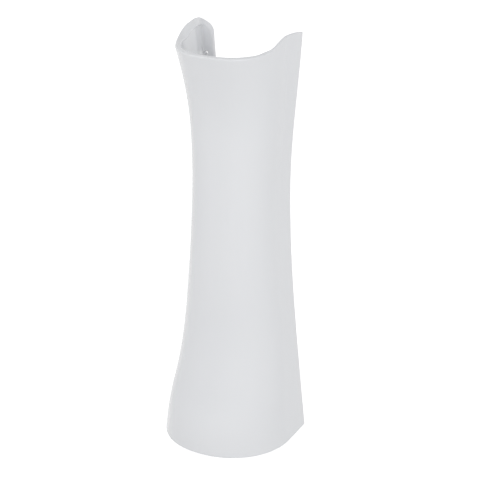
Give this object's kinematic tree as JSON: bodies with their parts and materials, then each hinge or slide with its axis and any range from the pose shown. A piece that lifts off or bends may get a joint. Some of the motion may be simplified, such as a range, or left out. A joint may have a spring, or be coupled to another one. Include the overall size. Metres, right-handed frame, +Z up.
{
  "type": "washbasin pedestal",
  "caption": "Tall waisted white ceramic pedestal shell that stands under a washbasin and hides its pipes, open at the top, foot and back.",
  "frame": {"origin": "middle of the bounding box at floor level, under the foot", "axes": "+Z up along the pedestal; -Y towards the user in front; +Y towards the wall, where the shell is open; +X towards the right hand of someone who looks from behind it"},
  "size_m": [0.2166, 0.1745, 0.6908],
  "materials": {
    "white_glaze": "gloss white glaze over vitreous china"
  },
  "bodies": {
    "root": {"pedestal": "white_glaze"}
  },
  "joints": []
}
